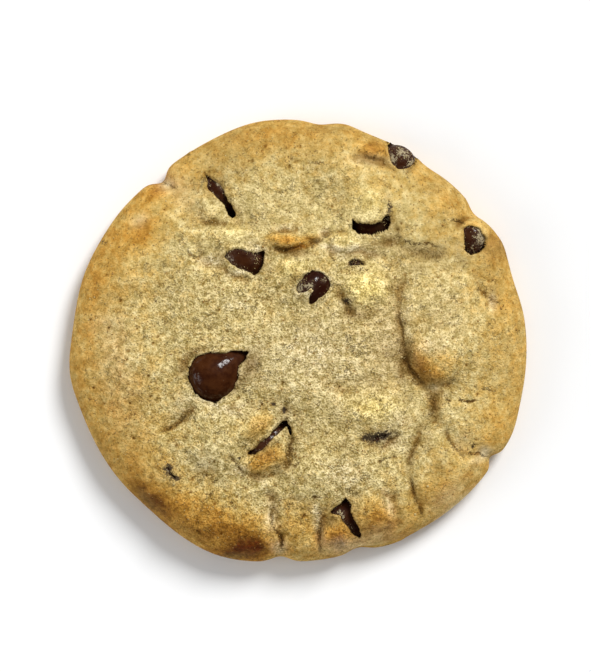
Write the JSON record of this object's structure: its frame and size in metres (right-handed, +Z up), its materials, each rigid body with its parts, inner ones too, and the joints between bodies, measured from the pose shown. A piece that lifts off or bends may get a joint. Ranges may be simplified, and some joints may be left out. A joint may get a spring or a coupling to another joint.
{
  "type": "chocolate chip cookie",
  "caption": "Round soft-baked cookie with a domed, lumpy, cracked top, a rolled rim, a flat underside and dark teardrop chips set in its top.",
  "frame": {"origin": "centre of the bounding box at the flat underside", "axes": "+Z up through the domed top, +X to the right and +Y to the top of the cookie as seen from above"},
  "size_m": [0.0848, 0.082, 0.0139],
  "materials": {
    "baked_dough": null,
    "chocolate": null
  },
  "bodies": {
    "root": {"cookie_dough": "baked_dough", "chip_left": "chocolate", "chip_upper_left": "chocolate", "chip_middle_left": "chocolate", "chip_middle": "chocolate", "chip_upper_right": "chocolate", "chip_rim": "chocolate", "chip_right": "chocolate", "chip_folded": "chocolate", "chip_lower": "chocolate", "chip_lower_right": "chocolate", "chip_lower_left": "chocolate", "chip_small": "chocolate"}
  },
  "joints": []
}
